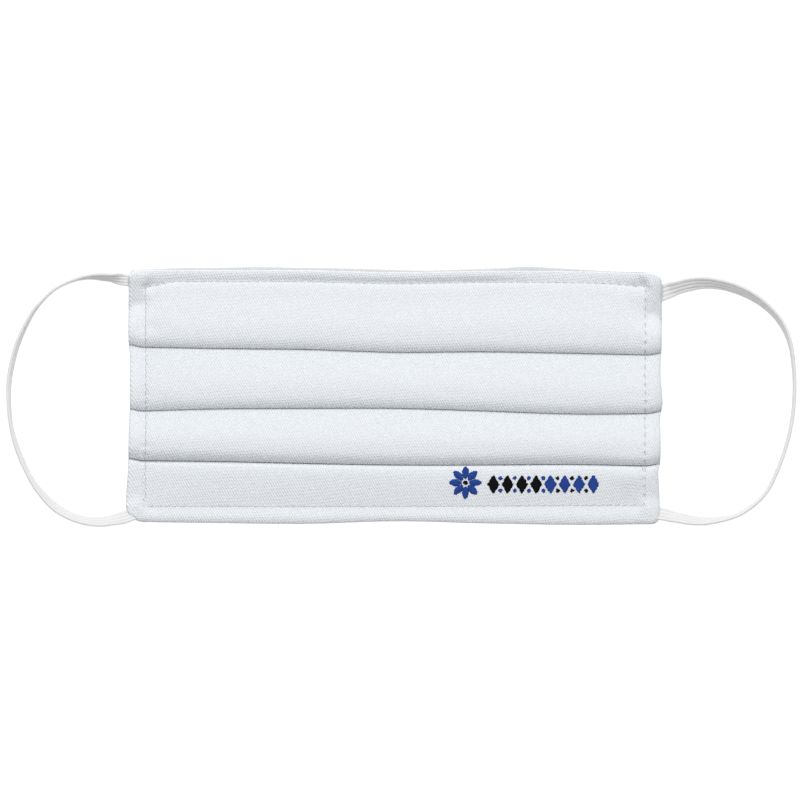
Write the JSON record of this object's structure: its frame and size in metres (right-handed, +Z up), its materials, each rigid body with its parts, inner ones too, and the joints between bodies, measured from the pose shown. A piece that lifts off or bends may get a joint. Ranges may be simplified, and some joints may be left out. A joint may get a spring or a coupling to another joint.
{
  "type": "pleated cloth face mask",
  "caption": "Pleated cloth face mask lying flat, front up, with three knife pleats, a stitched hem and a flat elastic ear loop at each side.",
  "frame": {"origin": "on the surface that the mask lies on, below the middle of its bounding box", "axes": "+X from the left ear loop to the right one as seen from the front, +Y towards the top edge that sits on the nose, +Z up, out of the front face"},
  "size_m": [0.282, 0.0936, 0.0063],
  "materials": {
    "cloth": "matt white cotton twill",
    "lining": "matt plain white cotton",
    "elastic": "white ribbed woven elastic, slight sheen",
    "white_thread": "white sewing thread",
    "blue_thread": "blue embroidery thread, satin sheen",
    "black_thread": "black embroidery thread, satin sheen"
  },
  "bodies": {
    "root": {"pleated_panel": "cloth", "lining_edge": "lining", "ear_loop_left": "elastic", "ear_loop_right": "elastic"}
  },
  "joints": []
}
